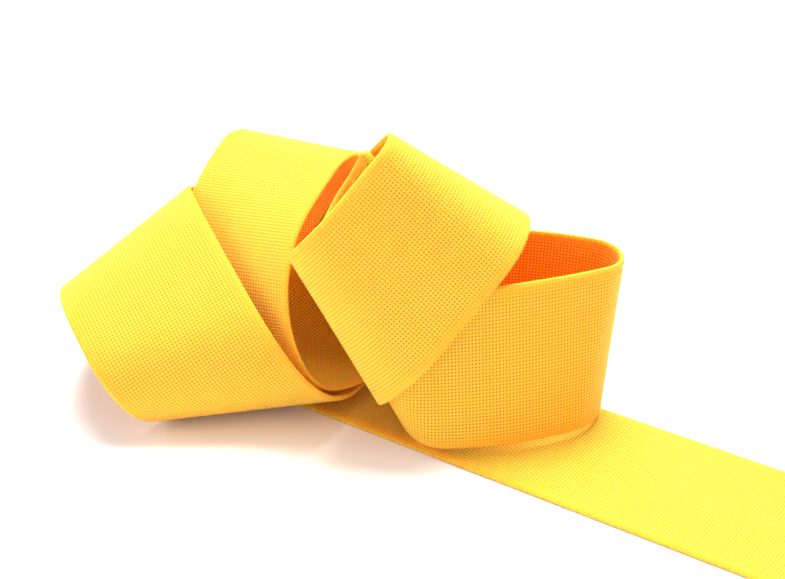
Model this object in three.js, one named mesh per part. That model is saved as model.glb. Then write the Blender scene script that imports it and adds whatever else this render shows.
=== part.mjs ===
// Martial arts belt: one long strip of woven webbing, lying in loose loops on a table.
// Millimetres, +Z up. The origin is the middle of the strip's underside, where the flat
// tail leaves the loops; +X runs along the tail, away from the loops.
import * as THREE from 'three';
import { mergeVertices } from 'three/addons/utils/BufferGeometryUtils.js';

// ---- Driving dimensions ----
const BELT_WIDTH = 40;          // a standard belt for adults and older children
const BELT_THICKNESS = 1.2;     // one ply of plain webbing
const BELT_LENGTH = 2400;       // finished length, end to end
const NODE_GAP = 0.3;           // clearance between two stretches of the strip
const TAIL_RUN = 100;           // flat strip between the loops and the roll
const TAIL_START = 10;          // where the tail can be lifted from, past the origin
const HEM_LENGTH = 15;          // how far each end is folded back on itself
const STITCH_WIDTH = 0.7;       // a row of sewing thread, seen from above
const STITCH_HEIGHT = 0.3;      // how far the thread stands off the hem
const STITCH_INSET = 1.5;       // from the row's ends to the belt's edges
const STITCH_ROWS = 2;
const ROLL_CLEARANCE = 0.35;    // air between two turns of the roll
const ROLL_BORE_RADIUS = 8;     // the open eye of the roll
const SEGMENT_LENGTH = 3;       // facet length along the strip
const ROLL_FACETS = 48;

// How a strip lies depends on its width, so the loops are laid out for a 40 mm belt
// and grow with the width.
const LAY_WIDTH = 40;
const lay = BELT_WIDTH / LAY_WIDTH;

// The lay of the strip from the flat tail to the free inner end. Each stretch has its
// length in mm, the angle it bends through towards its upper side, and the lean of its
// bend lines from straight across the belt where the stretch ends, both in degrees.
// These numbers were not chosen by hand. A separate fitting program matched them to the
// outlines in the reference view and then cleared the overlaps, in steps of half a unit.
const STRETCHES = [
  { name: 'base_run', length: 68, bend: 0, lean: 0 },
  { name: 'base_corner', length: 47.5, bend: 2, lean: 45 },
  { name: 'first_rise', length: 48.5, bend: 115, lean: -3 },
  { name: 'first_back_low', length: 12, bend: 18, lean: 10.5 },
  { name: 'first_back_high', length: 10.5, bend: 33, lean: 11.5 },
  { name: 'first_top_back', length: 10, bend: 17.5, lean: 3.5 },
  { name: 'first_top', length: 15.5, bend: 11.5, lean: -14.5 },
  { name: 'first_front', length: 40.5, bend: 121.5, lean: -33 },
  { name: 'first_under', length: 32.5, bend: 20, lean: 6.5 },
  { name: 'first_floor', length: 28, bend: 68, lean: 11 },
  { name: 'second_rise', length: 31.5, bend: 57.5, lean: -3 },
  { name: 'second_back_low', length: 10.5, bend: 62, lean: -5 },
  { name: 'second_back_high', length: 9, bend: 3.5, lean: -16.5 },
  { name: 'second_top', length: 32, bend: 46.5, lean: 10.5 },
  { name: 'second_front', length: 13.5, bend: 36.5, lean: -7 },
  { name: 'second_under', length: 10, bend: 49, lean: -15.5 },
  { name: 'third_rise_low', length: 34, bend: 58.5, lean: -28.5 },
  { name: 'third_rise_high', length: 9.5, bend: 47.5, lean: -38 },
  { name: 'third_back', length: 50, bend: 32.5, lean: 24 },
  { name: 'third_top', length: 13.5, bend: 61.5, lean: 7.5 },
  { name: 'third_front_top', length: 8.5, bend: 47, lean: -3.5 },
  { name: 'third_front', length: 17.5, bend: 0, lean: -13 },
  { name: 'third_fold', length: 33, bend: 116, lean: -24 },
  { name: 'ring_back_left', length: 20.5, bend: 43, lean: -38.5 },
  { name: 'ring_back', length: 42.5, bend: 43.5, lean: 11.5 },
  { name: 'ring_right_turn', length: 27.5, bend: 136, lean: -13.5 },
  { name: 'ring_front_right', length: 43.5, bend: 27, lean: 25 },
  { name: 'ring_front', length: 8.5, bend: 46, lean: 27 },
  { name: 'ring_front_left', length: 8.5, bend: 41.5, lean: 24 },
  { name: 'ring_left_turn', length: 12.5, bend: 50, lean: 37 },
  { name: 'inner_end', length: 28.5, bend: 69.5, lean: 6 },
];

// ---- Walking along the strip ----
const WALK_STEP = 0.5;

function walkStrip(stretches) {
  const frame = {
    at: 0,
    point: new THREE.Vector3(0, 0, BELT_THICKNESS / 2),
    along: new THREE.Vector3(-1, 0, 0),
    across: new THREE.Vector3(0, -1, 0),
    normal: new THREE.Vector3(0, 0, 1),
    slant: 0,
  };
  const frames = [copyFrame(frame)];
  const starts = [];
  for (const stretch of stretches) {
    const length = stretch.length * lay;
    const steps = Math.ceil(length / WALK_STEP);
    const stride = length / steps;
    const bend = THREE.MathUtils.degToRad(stretch.bend) / steps;
    const slantBefore = frame.slant;
    const slantAfter = Math.tan(THREE.MathUtils.degToRad(stretch.lean));
    starts.push(frame.at);
    for (let step = 0; step < steps; step += 1) {
      const midSlant = THREE.MathUtils.lerp(slantBefore, slantAfter, (step + 0.5) / steps);
      turnFrame(frame, midSlant, bend / 2);
      frame.point.addScaledVector(frame.along, stride);
      turnFrame(frame, midSlant, bend / 2);
      frame.at += stride;
      frame.slant = THREE.MathUtils.lerp(slantBefore, slantAfter, (step + 1) / steps);
      frames.push(copyFrame(frame));
    }
  }
  starts.push(frame.at);
  return { frames, starts };
}

function copyFrame(frame) {
  return {
    at: frame.at,
    point: frame.point.clone(),
    along: frame.along.clone(),
    across: frame.across.clone(),
    normal: frame.normal.clone(),
    slant: frame.slant,
  };
}

// A bend turns the frame about its bend line, which leans from the across direction.
function turnFrame(frame, slant, bend) {
  const bendLine = frame.across.clone().addScaledVector(frame.along, slant);
  const angle = -bend * bendLine.length();
  bendLine.normalize();
  frame.along.applyAxisAngle(bendLine, angle);
  frame.across.applyAxisAngle(bendLine, angle);
  frame.normal.applyAxisAngle(bendLine, angle);
}

const strip = walkStrip(STRETCHES);

function frameAt(distance) {
  const { frames } = strip;
  let low = 0;
  let high = frames.length - 1;
  while (high - low > 1) {
    const middle = (low + high) >> 1;
    if (frames[middle].at <= distance) {
      low = middle;
    } else {
      high = middle;
    }
  }
  const a = frames[low];
  const b = frames[high];
  const share = (distance - a.at) / (b.at - a.at);
  return {
    point: a.point.clone().lerp(b.point, share),
    along: a.along.clone().lerp(b.along, share).normalize(),
    across: a.across.clone().lerp(b.across, share).normalize(),
    normal: a.normal.clone().lerp(b.normal, share).normalize(),
    slant: THREE.MathUtils.lerp(a.slant, b.slant, share),
  };
}

// Lays a flat bar on the strip: its middle runs from one distance along the strip to
// another, at a height over the strip's middle surface.
function laidBar(from, to, width, thickness, height) {
  const length = to - from;
  const steps = Math.max(1, Math.ceil(length / (SEGMENT_LENGTH * lay)));
  const bar = new THREE.BoxGeometry(length, width, thickness, steps, 1, 1);
  bar.deleteAttribute('normal');
  bar.deleteAttribute('uv');
  const spots = bar.getAttribute('position');
  const spot = new THREE.Vector3();
  for (let index = 0; index < spots.count; index += 1) {
    spot.fromBufferAttribute(spots, index);
    const frame = frameAt(from + length / 2 + spot.x);
    const place = frame.point.clone();
    place.addScaledVector(frame.across, spot.y);
    place.addScaledVector(frame.along, spot.y * frame.slant);
    place.addScaledVector(frame.normal, spot.z + height);
    spots.setXYZ(index, place.x, place.y, place.z);
  }
  const closed = mergeVertices(bar);
  closed.computeVertexNormals();
  return closed;
}

// ---- Materials ----
function webbing() {
  return new THREE.MeshStandardMaterial({ color: 0xffd21e, roughness: 0.75, metalness: 0 });
}

function thread() {
  return new THREE.MeshStandardMaterial({ color: 0xf2bd12, roughness: 0.6, metalness: 0 });
}

// ---- Pieces ----
const belt = new THREE.Group();

function addMesh(name, geometry, material) {
  const mesh = new THREE.Mesh(geometry, material);
  mesh.name = name;
  belt.add(mesh);
  return mesh;
}

function addStretches() {
  STRETCHES.forEach((stretch, index) => {
    const start = index === 0 ? -TAIL_START : strip.starts[index];
    const from = start + NODE_GAP / 2;
    const to = strip.starts[index + 1] - NODE_GAP / 2;
    addMesh(stretch.name, laidBar(from, to, BELT_WIDTH, BELT_THICKNESS, 0), webbing());
  });
}

// The free inner end: a second ply folded back over the upper side, sewn down in rows.
function addInnerEnd() {
  const end = strip.starts[STRETCHES.length] - NODE_GAP / 2;
  const hemHeight = BELT_THICKNESS + NODE_GAP;
  const hem = laidBar(end - HEM_LENGTH, end, BELT_WIDTH, BELT_THICKNESS, hemHeight);
  addMesh('inner_end_hem', hem, webbing());
  const rowSpan = BELT_WIDTH - 2 * STITCH_INSET;
  const rowHeight = hemHeight + BELT_THICKNESS / 2 + NODE_GAP / 3 + STITCH_HEIGHT / 2;
  for (let row = 0; row < STITCH_ROWS; row += 1) {
    const middle = end - HEM_LENGTH * (row + 0.5) / STITCH_ROWS;
    const bar = laidBar(middle - STITCH_WIDTH / 2, middle + STITCH_WIDTH / 2,
      rowSpan, STITCH_HEIGHT, rowHeight);
    addMesh(`inner_end_stitch_${row + 1}`, bar, thread());
  }
}

// ---- The rolled-up outer part ----
const laidLength = strip.starts[STRETCHES.length];
const rollPitch = BELT_THICKNESS + ROLL_CLEARANCE;
const rolledLength = BELT_LENGTH - laidLength - TAIL_RUN;
const rollRadius = Math.sqrt(ROLL_BORE_RADIUS ** 2 + rolledLength * rollPitch / Math.PI);
// The tail passes under the roll until the roll's curve comes down to it.
const rollReach = Math.sqrt(2 * rollRadius * (BELT_THICKNESS + NODE_GAP));
const rollCentreX = TAIL_RUN + rollReach;

function addTail() {
  const length = TAIL_RUN - TAIL_START - NODE_GAP;
  const tail = new THREE.BoxGeometry(length, BELT_WIDTH, BELT_THICKNESS);
  const mesh = addMesh('tail_run', tail, webbing());
  mesh.position.set((TAIL_START + TAIL_RUN) / 2, 0, BELT_THICKNESS / 2);
}

function addRoll() {
  const half = BELT_WIDTH / 2;
  const outline = [
    new THREE.Vector2(ROLL_BORE_RADIUS, -half),
    new THREE.Vector2(rollRadius, -half),
    new THREE.Vector2(rollRadius, half),
    new THREE.Vector2(ROLL_BORE_RADIUS, half),
    new THREE.Vector2(ROLL_BORE_RADIUS, -half),
  ];
  const roll = new THREE.LatheGeometry(outline, ROLL_FACETS);
  const mesh = addMesh('tail_roll', roll, webbing());
  mesh.position.set(rollCentreX, 0, rollRadius);
}

// The outer end, sewn like the inner one, lies against the wall of the roll's eye.
function addOuterEnd() {
  const hemRadius = ROLL_BORE_RADIUS - NODE_GAP - BELT_THICKNESS / 2;
  const hem = eyeBar(hemRadius, HEM_LENGTH, BELT_WIDTH, BELT_THICKNESS, 0);
  const hemMesh = addMesh('outer_end_hem', hem, webbing());
  hemMesh.position.set(rollCentreX, 0, rollRadius);
  const rowRadius = hemRadius - BELT_THICKNESS / 2 - NODE_GAP / 3 - STITCH_HEIGHT / 2;
  const rowSpan = BELT_WIDTH - 2 * STITCH_INSET;
  for (let row = 0; row < STITCH_ROWS; row += 1) {
    const share = (row + 0.5) / STITCH_ROWS - 0.5;
    const turn = share * HEM_LENGTH / hemRadius;
    const bar = eyeBar(rowRadius, STITCH_WIDTH, rowSpan, STITCH_HEIGHT, turn);
    const mesh = addMesh(`outer_end_stitch_${row + 1}`, bar, thread());
    mesh.position.set(rollCentreX, 0, rollRadius);
  }
}

// A bar bent round the roll's axis, resting on the bottom of the eye.
function eyeBar(radius, length, width, thickness, turn) {
  const steps = Math.max(1, Math.ceil(length / SEGMENT_LENGTH) * 2);
  const bar = new THREE.BoxGeometry(length, width, thickness, steps, 1, 1);
  bar.deleteAttribute('normal');
  bar.deleteAttribute('uv');
  const spots = bar.getAttribute('position');
  const spot = new THREE.Vector3();
  for (let index = 0; index < spots.count; index += 1) {
    spot.fromBufferAttribute(spots, index);
    const angle = spot.x / radius + turn;
    const reach = radius - spot.z;
    spots.setXYZ(index, Math.sin(angle) * reach, spot.y, -Math.cos(angle) * reach);
  }
  const closed = mergeVertices(bar);
  closed.computeVertexNormals();
  return closed;
}

addStretches();
addInnerEnd();
addTail();
addRoll();
addOuterEnd();

export default belt;
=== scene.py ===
# %% [markdown]
# A martial arts belt is one long strip of woven webbing. Here it lies as it does when it has
# been unrolled by hand: two loose turns of a coil, a third turn that crosses over in front, and a
# ring that stands on its edge on the flat part of the strip. The rest runs off flat to a small
# roll. The imported model is loaded first, because the sewing rides on its bodies.

# %% Load the frame
import math
import bmesh
import bpy
from mathutils import Matrix, Vector


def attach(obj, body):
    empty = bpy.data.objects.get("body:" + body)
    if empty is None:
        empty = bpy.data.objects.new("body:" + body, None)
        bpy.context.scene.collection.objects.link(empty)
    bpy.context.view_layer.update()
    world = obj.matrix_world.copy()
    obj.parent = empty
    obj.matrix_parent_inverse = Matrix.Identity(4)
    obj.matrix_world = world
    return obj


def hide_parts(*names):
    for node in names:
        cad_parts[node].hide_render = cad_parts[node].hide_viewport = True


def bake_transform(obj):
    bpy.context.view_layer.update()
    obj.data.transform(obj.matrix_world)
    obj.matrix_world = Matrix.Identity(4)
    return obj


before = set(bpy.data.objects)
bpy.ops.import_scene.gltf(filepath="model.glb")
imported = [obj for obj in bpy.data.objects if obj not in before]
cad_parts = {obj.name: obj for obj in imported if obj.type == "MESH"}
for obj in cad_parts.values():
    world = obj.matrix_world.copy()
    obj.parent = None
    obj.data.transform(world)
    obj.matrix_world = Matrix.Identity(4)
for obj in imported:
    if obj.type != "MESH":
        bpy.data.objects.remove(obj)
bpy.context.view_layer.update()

# %% [markdown]
# ## Sizes
# The strip is 40 mm wide, as belts for adults and older children are, and a single ply of plain
# webbing, 1.2 mm thick. The weave has a warp thread every 0.85 mm across the belt and a weft
# thread every 0.79 mm along it. The roll, the hems and the weave are worked out from these few
# numbers. The list of stretches and the outline of the section come further on.

# %% Driving sizes, in metres
MM = 0.001
BELT_WIDTH = 40 * MM
BELT_THICKNESS = 1.2 * MM
BELT_LENGTH = 2400 * MM
TAIL_RUN = 100 * MM
PLY_GAP = 0.3 * MM
HEM_LENGTH = 15 * MM
ROLL_CLEARANCE = 0.35 * MM
ROLL_BORE_RADIUS = 8 * MM
WARP_PITCH = 0.85 * MM
WEFT_PITCH = 0.79 * MM
print("warp threads across the belt:", round(BELT_WIDTH / WARP_PITCH))

# %% [markdown]
# ## How the strip lies
# Webbing can't stretch, so it only bends: every loop is a row of straight bend lines that lie
# across the strip and lean a little forwards or backwards. A whole lay of loops is then a short
# list. Each stretch has its length in millimetres, the angle it bends through towards its upper
# side, and the lean of its bend lines where it ends, in degrees. The list starts where the flat
# tail leaves the loops and ends inside the ring. It repeats the CAD's list, so the cloth lies
# exactly where the collision solids do. These numbers were not chosen by hand. A separate fitting
# program matched them to the outlines in the reference view and then cleared the overlaps, in
# steps of half a unit.

# %% The stretches, from the tail to the inner end
STRETCHES = [
    ("base_run", 68, 0, 0),
    ("base_corner", 47.5, 2, 45),
    ("first_rise", 48.5, 115, -3),
    ("first_back_low", 12, 18, 10.5),
    ("first_back_high", 10.5, 33, 11.5),
    ("first_top_back", 10, 17.5, 3.5),
    ("first_top", 15.5, 11.5, -14.5),
    ("first_front", 40.5, 121.5, -33),
    ("first_under", 32.5, 20, 6.5),
    ("first_floor", 28, 68, 11),
    ("second_rise", 31.5, 57.5, -3),
    ("second_back_low", 10.5, 62, -5),
    ("second_back_high", 9, 3.5, -16.5),
    ("second_top", 32, 46.5, 10.5),
    ("second_front", 13.5, 36.5, -7),
    ("second_under", 10, 49, -15.5),
    ("third_rise_low", 34, 58.5, -28.5),
    ("third_rise_high", 9.5, 47.5, -38),
    ("third_back", 50, 32.5, 24),
    ("third_top", 13.5, 61.5, 7.5),
    ("third_front_top", 8.5, 47, -3.5),
    ("third_front", 17.5, 0, -13),
    ("third_fold", 33, 116, -24),
    ("ring_back_left", 20.5, 43, -38.5),
    ("ring_back", 42.5, 43.5, 11.5),
    ("ring_right_turn", 27.5, 136, -13.5),
    ("ring_front_right", 43.5, 27, 25),
    ("ring_front", 8.5, 46, 27),
    ("ring_front_left", 8.5, 41.5, 24),
    ("ring_left_turn", 12.5, 50, 37),
    ("inner_end", 28.5, 69.5, 6),
]
print("stretches", len(STRETCHES), "laid length in mm", round(sum(s[1] for s in STRETCHES)))

# %% [markdown]
# A frame of three directions walks along the strip: along it, across it, and out of its upper
# side. Each small step turns the frame about the local bend line and moves it forwards. A spline
# through points could stretch the cloth; walking keeps its true length and width by itself.

# %% A place on the strip, and the walk
WALK_STEP = 0.5 * MM


class Spot:
    """A place on the strip: how far along it is, its middle, its directions and its bend line."""

    def __init__(self, at, point, along, across, normal, slant):
        self.at = at
        self.point = point
        self.along = along
        self.across = across
        self.normal = normal
        self.slant = slant

    def reach(self, side, height):
        line = self.across + self.slant * self.along
        return self.point + side * line + height * self.normal

    def turned(self, slant, bend):
        line = self.across + slant * self.along
        turn = Matrix.Rotation(-bend * line.length, 3, line.normalized())
        return Spot(self.at, self.point, turn @ self.along, turn @ self.across,
                    turn @ self.normal, slant)

    def moved(self, stride, slant):
        return Spot(self.at + stride, self.point + stride * self.along, self.along,
                    self.across, self.normal, slant)


def walk_on(spot, length, bend, slant_after):
    """Spots every half millimetre over one stretch, from the spot that it starts at."""
    steps = max(1, math.ceil(length / WALK_STEP - 1e-9))
    stride = length / steps
    before = spot.slant
    spots = []
    for step in range(steps):
        middle = before + (slant_after - before) * (step + 0.5) / steps
        after = before + (slant_after - before) * (step + 1) / steps
        spot = spot.turned(middle, bend / steps / 2).moved(stride, middle)
        spot = spot.turned(middle, bend / steps / 2)
        spot.slant = after
        spots.append(spot)
    return spots


spots = [Spot(0.0, Vector((0, 0, BELT_THICKNESS / 2)), Vector((-1, 0, 0)),
              Vector((0, -1, 0)), Vector((0, 0, 1)), 0.0)]
for name, length, bend, lean in STRETCHES:
    spots += walk_on(spots[-1], length * MM, math.radians(bend), math.tan(math.radians(lean)))
laid_length = spots[-1].at
print("laid", round(laid_length, 4), "m; inner end at",
      [round(1000 * v, 1) for v in spots[-1].point], "mm")

# %% [markdown]
# ## The inner end
# A cut end of webbing frays, so it is folded back on itself and sewn down. The fold is a half turn
# of very small radius, and the folded ply then follows the strip back for the hem's length.

# %% Fold the inner end back
fold_radius = (BELT_THICKNESS + PLY_GAP) / 2


def fold_back(spots, hem_length):
    """The U turn at the last spot and the ply that lies back along the strip."""
    end = spots[-1]
    hem = walk_on(end, math.pi * fold_radius, math.pi * 0.999, end.slant)
    at = hem[-1].at
    for spot in reversed(spots):
        gone = end.at - spot.at
        if gone > hem_length:
            break
        hem.append(Spot(at + gone, spot.point + 2 * fold_radius * spot.normal, -spot.along,
                        spot.across, -spot.normal, -spot.slant))
    return hem


inner_hem = fold_back(spots, HEM_LENGTH)
print("inner hem spots", len(inner_hem))

# %% [markdown]
# ## The flat tail and the roll
# The tail lies flat on the floor. What is left of the belt's length is wound into a flat spiral
# that stands on its edge, with a little air between its turns. The spiral's outer radius follows
# from the length that has to fit in: the length times the pitch is the area of the ring.

# %% Work out the roll
roll_pitch = BELT_THICKNESS + ROLL_CLEARANCE
rolled_length = BELT_LENGTH - laid_length - TAIL_RUN
roll_radius = math.sqrt(ROLL_BORE_RADIUS ** 2 + rolled_length * roll_pitch / math.pi)
roll_centre = Vector((TAIL_RUN + math.sqrt(2 * roll_radius * (BELT_THICKNESS + PLY_GAP)), 0,
                      roll_radius))
outer_turn_radius = roll_radius - BELT_THICKNESS / 2
inner_turn_radius = ROLL_BORE_RADIUS + BELT_THICKNESS / 2
print("roll radius in mm", round(1000 * roll_radius, 1), "centre x", round(1000 * roll_centre.x, 1))


# %% Lay the tail and wind the roll
def tail_spots(step):
    count = math.ceil(roll_centre.x / step)
    made = []
    for index in range(1, count + 1):
        x = roll_centre.x * index / count
        made.append(Spot(-x, Vector((x, 0, BELT_THICKNESS / 2)), Vector((-1, 0, 0)),
                         Vector((0, -1, 0)), Vector((0, 0, 1)), 0.0))
    return made


def roll_spot(angle, radius, at):
    outward = Vector((math.sin(angle), 0, -math.cos(angle)))
    along = Vector((-math.cos(angle), 0, -math.sin(angle)))
    return Spot(at, roll_centre + radius * outward, along, Vector((0, -1, 0)), -outward, 0.0)


def roll_spots(step):
    """Turns from the outside in; the last one stops just past the bottom of the eye."""
    turns = round(rolled_length / (math.pi * (outer_turn_radius + inner_turn_radius)))
    last_angle = math.tau * turns + HEM_LENGTH / 2 / ROLL_BORE_RADIUS
    shrink = (outer_turn_radius - inner_turn_radius) / last_angle
    angle = 0.0
    at = -roll_centre.x
    made = []
    while angle < last_angle:
        radius = outer_turn_radius - shrink * angle
        turn = min(step / radius, last_angle - angle)
        angle += turn
        at -= turn * radius
        made.append(roll_spot(angle, outer_turn_radius - shrink * angle, at))
    return made, last_angle


tail = tail_spots(2 * MM)
roll, roll_angle = roll_spots(1.8 * MM)
print("turns in the roll", round(roll_angle / math.tau, 2), "belt length in m",
      round(laid_length - roll[-1].at, 3))

# %% [markdown]
# The outer end has the same hem, folded towards the middle of the roll. Its small U turn and its
# folded ply are arcs round the roll's axis.

# %% Fold the outer end inside the roll
def outer_hem(step):
    last = roll[-1]
    middle = last.point + fold_radius * last.normal
    made = []
    for index in range(1, 9):
        angle = math.pi * index / 8
        along = math.cos(angle) * last.along - math.sin(angle) * last.normal
        normal = math.cos(angle) * last.normal + math.sin(angle) * last.along
        made.append(Spot(last.at - angle * fold_radius, middle - fold_radius * normal, along,
                         last.across, normal, 0.0))
    radius = inner_turn_radius - 2 * fold_radius
    count = math.ceil(HEM_LENGTH / step)
    for index in range(1, count + 1):
        gone = HEM_LENGTH * index / count
        spot = roll_spot(roll_angle - gone / radius, radius, made[7].at - gone)
        made.append(Spot(spot.at, spot.point, -spot.along, spot.across, -spot.normal, 0.0))
    return made


outer_end = outer_hem(1.5 * MM)
print("outer hem spots", len(outer_end))

# %% [markdown]
# ## The strip's mesh
# The section of webbing is flat, with edges that are rounded and a little thicker, because the
# weft turns round there and packs the selvedge. It starts as a circle whose points are moved to
# that outline, and it is extruded from place to place along the strip. Each point keeps its place
# on the flat strip in a UV map in metres, so that the weave follows every bend.

# %% The section of the webbing
SECTION = [(-20.0, 0.0), (-19.8, -0.42), (-19.2, -0.62), (-17.9, -0.6), (-9.0, -0.56), (0.0, -0.56),
           (9.0, -0.56), (17.9, -0.6), (19.2, -0.62), (19.8, -0.42), (20.0, 0.0), (19.8, 0.42),
           (19.2, 0.62), (17.9, 0.6), (9.0, 0.56), (0.0, 0.56), (-9.0, 0.56), (-17.9, 0.6),
           (-19.2, 0.62), (-19.8, 0.42)]
print("points round the section:", len(SECTION))


# %% Choose the stations and lay the strip
def thinned(row, spacing):
    """Drops spots until they are about this far apart, closer where the strip bends sharply."""
    kept = [row[0]]
    for spot in row[1:-1]:
        gone = abs(spot.at - kept[-1].at)
        bend = spot.normal.angle(kept[-1].normal, 0.0)
        if gone >= spacing or bend > math.radians(5):
            kept.append(spot)
    return kept + [row[-1]]


stations = list(reversed(outer_end)) + list(reversed(roll)) + list(reversed(tail))
stations += thinned(spots, 1.6 * MM) + thinned(inner_hem, 1.6 * MM)


def lay_ring(verts, spot, flat_layer):
    for vert, (side, height) in zip(verts, SECTION):
        side *= MM
        vert.co = spot.reach(side, height * MM)
        vert[flat_layer] = Vector((spot.at + side * spot.slant, side, 0.0))


belt_shape = bmesh.new()
flat_layer = belt_shape.verts.layers.float_vector.new("flat_place")
bmesh.ops.create_circle(belt_shape, segments=len(SECTION), radius=BELT_WIDTH / 2, cap_ends=False)
ring = list(belt_shape.verts)
lay_ring(ring, stations[0], flat_layer)
first_ring = ring
for spot in stations[1:]:
    edges = [belt_shape.edges.get((ring[i - 1], ring[i])) for i in range(len(ring))]
    grown = bmesh.ops.extrude_edge_only(belt_shape, edges=edges)["geom"]
    new = {v for v in grown if isinstance(v, bmesh.types.BMVert)}
    ring = [next(e.other_vert(v) for e in v.link_edges if e.other_vert(v) in new) for v in ring]
    lay_ring(ring, spot, flat_layer)
belt_shape.faces.new(list(reversed(first_ring)))
belt_shape.faces.new(ring)
bmesh.ops.recalc_face_normals(belt_shape, faces=belt_shape.faces)
print("stations", len(stations), "faces", len(belt_shape.faces))

# %% Keep the flat place as a UV map
uv_layer = belt_shape.loops.layers.uv.new("strip_metres")
for face in belt_shape.faces:
    face.smooth = len(face.verts) == 4
    for loop in face.loops:
        loop[uv_layer].uv = loop.vert[flat_layer].xy
belt_mesh = bpy.data.meshes.new("belt_strip")
belt_shape.to_mesh(belt_mesh)
belt_shape.free()
belt = bpy.data.objects.new("belt_strip", belt_mesh)
bpy.context.scene.collection.objects.link(belt)
print("triangles", sum(len(p.vertices) - 2 for p in belt_mesh.polygons))

# %% [markdown]
# ## The sewing
# Two rows of thread hold each hem. Seen close, a row is a line of short stitches with a small dip
# between them, so each stitch is a rounded bead of thread that is a little longer than it is wide.

# %% One stitch, and a row of them
STITCH_LENGTH = 2.4 * MM
STITCH_SPACING = 2.9 * MM
THREAD_RADIUS = 0.17 * MM
STITCH_INSET = 1.5 * MM
STITCH_ROWS = 2


def add_stitch(shape, centre, long_way, up):
    """A bead of thread at this place, long across the belt and pressed into the cloth."""
    side_way = long_way.cross(up).normalized()
    basis = Matrix((long_way * (STITCH_LENGTH / 2), side_way * THREAD_RADIUS * 1.3,
                    up * THREAD_RADIUS)).transposed().to_4x4()
    basis.translation = centre
    bmesh.ops.create_uvsphere(shape, u_segments=10, v_segments=6, radius=1.0, matrix=basis)


def sewing(name, hem, facing):
    """Stitch rows on a hem's own outside; facing is -1 for the underside of the folded ply."""
    shape = bmesh.new()
    span = BELT_WIDTH - 2 * STITCH_INSET
    count = math.floor(span / STITCH_SPACING)
    folded = hem[-1].at - hem[8].at
    for row in range(STITCH_ROWS):
        wanted = hem[8].at + folded * (row + 0.5) / STITCH_ROWS
        spot = min(hem[8:], key=lambda s: abs(s.at - wanted))
        for index in range(count):
            side = (index - (count - 1) / 2) * STITCH_SPACING
            line = (spot.across + spot.slant * spot.along).normalized()
            centre = spot.reach(side, facing * (BELT_THICKNESS / 2 - THREAD_RADIUS * 0.3))
            add_stitch(shape, centre, line, facing * spot.normal)
    for face in shape.faces:
        face.smooth = True
    mesh = bpy.data.meshes.new(name)
    shape.to_mesh(mesh)
    shape.free()
    piece = bpy.data.objects.new(name, mesh)
    bpy.context.scene.collection.objects.link(piece)
    print(name, "stitches", STITCH_ROWS * count)
    return piece


inner_sewing = sewing("inner_end_sewing", inner_hem, -1)
outer_sewing = sewing("outer_end_sewing", outer_end, -1)

# %% [markdown]
# ## The weave
# Plain weave is a chequerboard: in each cell either the warp thread or the weft thread is on top,
# and it bulges there. Where four cells meet there is a small pit, and those pits are what the eye
# sees as rows of dots. Sines of the two thread counts repeat in this way, so the group makes its
# height, its pits and its thread colours from the flat place on the strip. It is a node group, so
# that the weave's sizes stay named inputs of the one material that uses it.

# %% Helpers for node work
def add_node(tree, kind, **settings):
    made = tree.nodes.new(kind)
    for key, value in settings.items():
        setattr(made, key, value)
    return made


def calculate(tree, operation, *values, clamp=False):
    """A Math node; each value is a number or another node's output."""
    made = add_node(tree, "ShaderNodeMath", operation=operation, use_clamp=clamp)
    for socket, value in zip(made.inputs, values):
        if isinstance(value, (int, float)):
            socket.default_value = value
        else:
            tree.links.new(value, socket)
    return made.outputs[0]


def spread(tree, value, low, high, to_low=0.0, to_high=1.0):
    """Maps a value from one range to another, softly at both ends."""
    made = add_node(tree, "ShaderNodeMapRange")
    made.interpolation_type = "SMOOTHSTEP"
    tree.links.new(value, made.inputs["Value"])
    for key, number in (("From Min", low), ("From Max", high), ("To Min", to_low), ("To Max", to_high)):
        made.inputs[key].default_value = number
    return made.outputs["Result"]


# %% Build the plain weave group
def thread_noise(tree, thread_number, seed):
    """One value for each thread: no two threads take the dye quite alike."""
    made = add_node(tree, "ShaderNodeTexWhiteNoise", noise_dimensions="1D")
    tree.links.new(calculate(tree, "ADD", thread_number, seed), made.inputs["W"])
    return made.outputs["Value"]


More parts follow.
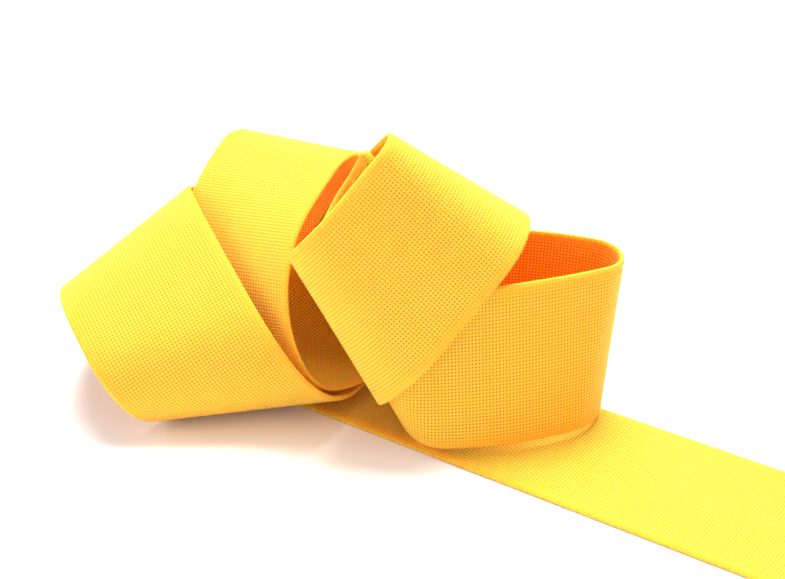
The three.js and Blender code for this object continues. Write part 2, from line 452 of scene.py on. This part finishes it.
def plain_weave_group():
    group = bpy.data.node_groups.new("plain_weave", "ShaderNodeTree")
    sides = group.interface
    sides.new_socket(name="Place", in_out="INPUT", socket_type="NodeSocketVector")
    for title, value in (("Warp Pitch", WARP_PITCH), ("Weft Pitch", WEFT_PITCH),
                         ("Half Width", BELT_WIDTH / 2)):
        socket = sides.new_socket(name=title, in_out="INPUT", socket_type="NodeSocketFloat")
        socket.default_value = value
    for title in ("Height", "Pits", "Thread Shade", "Selvedge", "Weft On Top"):
        sides.new_socket(name=title, in_out="OUTPUT", socket_type="NodeSocketFloat")
    given = add_node(group, "NodeGroupInput")
    result = add_node(group, "NodeGroupOutput")
    parts = add_node(group, "ShaderNodeSeparateXYZ")
    group.links.new(given.outputs["Place"], parts.inputs[0])
    warp = calculate(group, "DIVIDE", parts.outputs["Y"], given.outputs["Warp Pitch"])
    weft = calculate(group, "DIVIDE", parts.outputs["X"], given.outputs["Weft Pitch"])
    warp_wave = calculate(group, "SINE", calculate(group, "MULTIPLY", warp, math.pi))
    weft_wave = calculate(group, "SINE", calculate(group, "MULTIPLY", weft, math.pi))
    chequer = calculate(group, "MULTIPLY", warp_wave, weft_wave)
    warp_round = calculate(group, "POWER", calculate(group, "ABSOLUTE", warp_wave), 0.55)
    weft_round = calculate(group, "POWER", calculate(group, "ABSOLUTE", weft_wave), 0.45)
    height = calculate(group, "MULTIPLY", warp_round, weft_round)
    from_corner = calculate(group, "ADD", calculate(group, "MULTIPLY", warp_wave, warp_wave),
                            calculate(group, "MULTIPLY", weft_wave, weft_wave))
    pits = spread(group, from_corner, 0.12, 1.05, 1.0, 0.0)
    warp_shade = thread_noise(group, calculate(group, "FLOOR", warp), 0.37)
    weft_shade = thread_noise(group, calculate(group, "FLOOR", weft), 91.73)
    weft_top = spread(group, chequer, -0.12, 0.12)
    shade = add_node(group, "ShaderNodeMix", data_type="FLOAT")
    group.links.new(weft_top, shade.inputs["Factor"])
    group.links.new(warp_shade, shade.inputs["A"])
    group.links.new(weft_shade, shade.inputs["B"])
    edge = calculate(group, "SUBTRACT", given.outputs["Half Width"],
                     calculate(group, "ABSOLUTE", parts.outputs["Y"]))
    group.links.new(height, result.inputs["Height"])
    group.links.new(pits, result.inputs["Pits"])
    group.links.new(shade.outputs["Result"], result.inputs["Thread Shade"])
    group.links.new(spread(group, edge, 0.0008, 0.0036, 1.0, 0.0), result.inputs["Selvedge"])
    group.links.new(weft_top, result.inputs["Weft On Top"])
    return group


plain_weave = plain_weave_group()
print("weave group nodes", len(plain_weave.nodes))

# %% [markdown]
# ## The webbing's finish
# Dyed yellow cotton and polyester threads give a saturated body colour with a soft sheen. The pits
# between the threads are painted a dark ochre shade that stands for light that has bounced from yellow
# thread to yellow thread several times, and the cells where the weft lies on top get a little of it.
# The selvedge is packed tighter, so its painted pit shade is faint. Very faint cloudiness along the
# strip is where the dye and the handling differ.

# %% Dye colours and the painted pit shade
BODY_YELLOW = (1.0, 0.46, 0.014, 1.0)
PALE_YELLOW = (1.0, 0.52, 0.03, 1.0)
# The next colour is painted shade: the dark ochre that the pits between the threads are mixed towards.
PIT_PAINTED_SHADE = (0.42, 0.16, 0.002, 1.0)
EDGE_YELLOW = (1.0, 0.4, 0.012, 1.0)
THREAD_YELLOW = (0.98, 0.58, 0.045, 1.0)


def mix_colour(tree, factor, first, second):
    made = add_node(tree, "ShaderNodeMix", data_type="RGBA")
    tree.links.new(factor, made.inputs["Factor"])
    for socket, value in ((made.inputs["A"], first), (made.inputs["B"], second)):
        if isinstance(value, tuple):
            socket.default_value = value
        else:
            tree.links.new(value, socket)
    return made.outputs["Result"]


# %% The webbing material
def webbing_material():
    material = bpy.data.materials.new("yellow_webbing")
    material.use_nodes = True
    tree = material.node_tree
    surface = tree.nodes["Principled BSDF"]
    flat_place = add_node(tree, "ShaderNodeUVMap", uv_map="strip_metres")
    weave = add_node(tree, "ShaderNodeGroup", node_tree=plain_weave)
    tree.links.new(flat_place.outputs["UV"], weave.inputs["Place"])
    for title, value in (("Warp Pitch", WARP_PITCH), ("Weft Pitch", WEFT_PITCH),
                         ("Half Width", BELT_WIDTH / 2)):
        weave.inputs[title].default_value = value
    cloud = add_node(tree, "ShaderNodeTexNoise", noise_dimensions="3D")
    cloud.inputs["Scale"].default_value = 38.0
    cloud.inputs["Detail"].default_value = 3.0
    tree.links.new(flat_place.outputs["UV"], cloud.inputs["Vector"])
    fuzz = add_node(tree, "ShaderNodeTexNoise", noise_dimensions="3D")
    fuzz.inputs["Scale"].default_value = 5200.0
    fuzz.inputs["Detail"].default_value = 2.0
    tree.links.new(flat_place.outputs["UV"], fuzz.inputs["Vector"])
    uneven = calculate(tree, "ADD", calculate(tree, "MULTIPLY", weave.outputs["Thread Shade"], 0.34),
                       calculate(tree, "MULTIPLY", cloud.outputs["Fac"], 0.5), clamp=True)
    body = mix_colour(tree, uneven, BODY_YELLOW, PALE_YELLOW)
    # Painted shade: the pits, faint in the packed selvedge, and at a tenth the cells where the weft lies
    # on top, are mixed towards the dark ochre shade colour.
    weft_cell_painted_shade = calculate(tree, "MULTIPLY", weave.outputs["Weft On Top"], 0.1)
    loose = spread(tree, weave.outputs["Selvedge"], 0.0, 1.0, 0.95, 0.45)
    painted_pit_shade = calculate(tree, "MAXIMUM", weft_cell_painted_shade,
                           calculate(tree, "MULTIPLY", weave.outputs["Pits"], loose))
    body = mix_colour(tree, calculate(tree, "MULTIPLY", weave.outputs["Selvedge"], 0.6), body, EDGE_YELLOW)
    body = mix_colour(tree, painted_pit_shade, body, PIT_PAINTED_SHADE)
    tree.links.new(body, surface.inputs["Base Color"])
    rough = calculate(tree, "ADD", spread(tree, weave.outputs["Height"], 0.0, 1.0, 0.86, 0.62),
                      calculate(tree, "MULTIPLY", fuzz.outputs["Fac"], 0.12), clamp=True)
    tree.links.new(rough, surface.inputs["Roughness"])
    relief = calculate(tree, "ADD", weave.outputs["Height"],
                       calculate(tree, "MULTIPLY", fuzz.outputs["Fac"], 0.18))
    bump = add_node(tree, "ShaderNodeBump")
    bump.inputs["Strength"].default_value = 0.75
    bump.inputs["Distance"].default_value = 0.22 * MM
    tree.links.new(relief, bump.inputs["Height"])
    tree.links.new(bump.outputs["Normal"], surface.inputs["Normal"])
    surface.inputs["Sheen Weight"].default_value = 0.13
    surface.inputs["Sheen Roughness"].default_value = 0.45
    surface.inputs["Sheen Tint"].default_value = (1.0, 0.86, 0.45, 1.0)
    surface.inputs["Specular IOR Level"].default_value = 0.45
    surface.inputs["Subsurface Weight"].default_value = 0.85
    surface.inputs["Subsurface Radius"].default_value = (1.0, 0.35, 0.03)
    surface.inputs["Subsurface Scale"].default_value = 5 * MM
    return material


yellow_webbing = webbing_material()
belt.data.materials.append(yellow_webbing)
print("webbing nodes", len(yellow_webbing.node_tree.nodes))

# %% [markdown]
# ## The sewing thread
# Thread is two plies twisted together, and the twist shows as fine slanted ribs on each stitch. A
# wave texture across the object's own coordinates, a few tenths of a millimetre apart, is enough
# at this size.

# %% The thread material
def thread_material():
    material = bpy.data.materials.new("sewing_thread")
    material.use_nodes = True
    tree = material.node_tree
    surface = tree.nodes["Principled BSDF"]
    place = add_node(tree, "ShaderNodeTexCoord")
    twist = add_node(tree, "ShaderNodeTexWave", wave_type="BANDS", bands_direction="DIAGONAL")
    twist.inputs["Scale"].default_value = 900.0
    twist.inputs["Distortion"].default_value = 1.2
    tree.links.new(place.outputs["Object"], twist.inputs["Vector"])
    colour = mix_colour(tree, calculate(tree, "MULTIPLY", twist.outputs["Fac"], 0.6), BODY_YELLOW,
                        THREAD_YELLOW)
    tree.links.new(colour, surface.inputs["Base Color"])
    tree.links.new(spread(tree, twist.outputs["Fac"], 0.0, 1.0, 0.6, 0.42), surface.inputs["Roughness"])
    bump = add_node(tree, "ShaderNodeBump")
    bump.inputs["Strength"].default_value = 0.5
    bump.inputs["Distance"].default_value = 0.05 * MM
    tree.links.new(twist.outputs["Fac"], bump.inputs["Height"])
    tree.links.new(bump.outputs["Normal"], surface.inputs["Normal"])
    surface.inputs["Sheen Weight"].default_value = 0.1
    return material


sewing_thread = thread_material()
inner_sewing.data.materials.append(sewing_thread)
outer_sewing.data.materials.append(sewing_thread)
print("thread nodes", len(sewing_thread.node_tree.nodes))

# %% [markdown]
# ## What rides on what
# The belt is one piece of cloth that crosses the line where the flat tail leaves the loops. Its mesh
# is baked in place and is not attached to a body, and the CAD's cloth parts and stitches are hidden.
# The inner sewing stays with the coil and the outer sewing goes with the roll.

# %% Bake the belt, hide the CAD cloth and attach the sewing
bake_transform(belt)
cloth_nodes = [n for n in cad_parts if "stitch" not in n]
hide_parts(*cloth_nodes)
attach(inner_sewing, "coil")
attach(outer_sewing, "tail")
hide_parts(*[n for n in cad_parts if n.startswith("inner_end_stitch")])
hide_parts(*[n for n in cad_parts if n.startswith("outer_end_stitch")])

# %% [markdown]
# ## The table and the light
# The belt lies on a plain white table that runs out of sight. A large soft lamp above and to the
# left gives the pale tops and the golden lower faces, and a bright white surround fills the rest,
# so that only a soft warm shadow is left under the loops.

# %% A white table
table_shape = bmesh.new()
bmesh.ops.create_grid(table_shape, x_segments=1, y_segments=1, size=6.0)
table_mesh = bpy.data.meshes.new("table")
table_shape.to_mesh(table_mesh)
table_shape.free()
table = bpy.data.objects.new("table", table_mesh)
bpy.context.scene.collection.objects.link(table)
white = bpy.data.materials.new("white_table")
white.use_nodes = True
white.node_tree.nodes["Principled BSDF"].inputs["Base Color"].default_value = (0.9, 0.9, 0.9, 1)
white.node_tree.nodes["Principled BSDF"].inputs["Roughness"].default_value = 0.9
table.data.materials.append(white)
print("table laid at z =", table.location.z)

# %% Lamps and the surround
world = bpy.data.worlds.new("studio")
world.use_nodes = True
world.node_tree.nodes["Background"].inputs["Color"].default_value = (1.0, 1.0, 1.0, 1)
world.node_tree.nodes["Background"].inputs["Strength"].default_value = 0.9
bpy.context.scene.world = world
bpy.context.scene.view_settings.view_transform = "Standard"


def soft_lamp(name, place, aim, size, watts, colour):
    light = bpy.data.lights.new(name, "AREA")
    light.size = size
    light.energy = watts
    light.color = colour
    lamp = bpy.data.objects.new(name, light)
    lamp.location = place
    lamp.rotation_euler = (Vector(aim) - Vector(place)).to_track_quat("-Z", "Y").to_euler()
    bpy.context.scene.collection.objects.link(lamp)
    return lamp


middle = (-0.07, 0.0, 0.02)
key = soft_lamp("key_lamp", (-0.2, 0.35, 1.3), middle, 0.8, 44.0, (1.0, 0.98, 0.94))
fill = soft_lamp("fill_lamp", (-0.9, -0.9, 0.6), middle, 0.9, 4.0, (1.0, 0.97, 0.92))
print("lamps", [lamp.name for lamp in (key, fill)])

# %% [markdown]
# ## The camera
# The view is from a little above the table, about 29 degrees down, at close range, so the near
# parts look larger. It looks across the belt, and the tail runs out to the lower right. Its place
# and its lens were matched to the reference view by a fitting program too.

# %% Camera
CAMERA_PLACE = (0.12029, -0.28150, 0.21477)
CAMERA_AIM = (-0.10121, 0.04226, 0.0)
FOCAL_LENGTH = 73.83
lens = bpy.data.cameras.new("camera")
lens.sensor_width = 36.0
lens.lens = FOCAL_LENGTH
lens.clip_start = 0.01
camera = bpy.data.objects.new("camera", lens)
camera.location = CAMERA_PLACE
aim_point = Vector(CAMERA_AIM)
camera.rotation_euler = (aim_point - camera.location).to_track_quat("-Z", "Y").to_euler()
bpy.context.scene.collection.objects.link(camera)
bpy.context.scene.camera = camera
print("camera distance in m", round((aim_point - camera.location).length, 3))
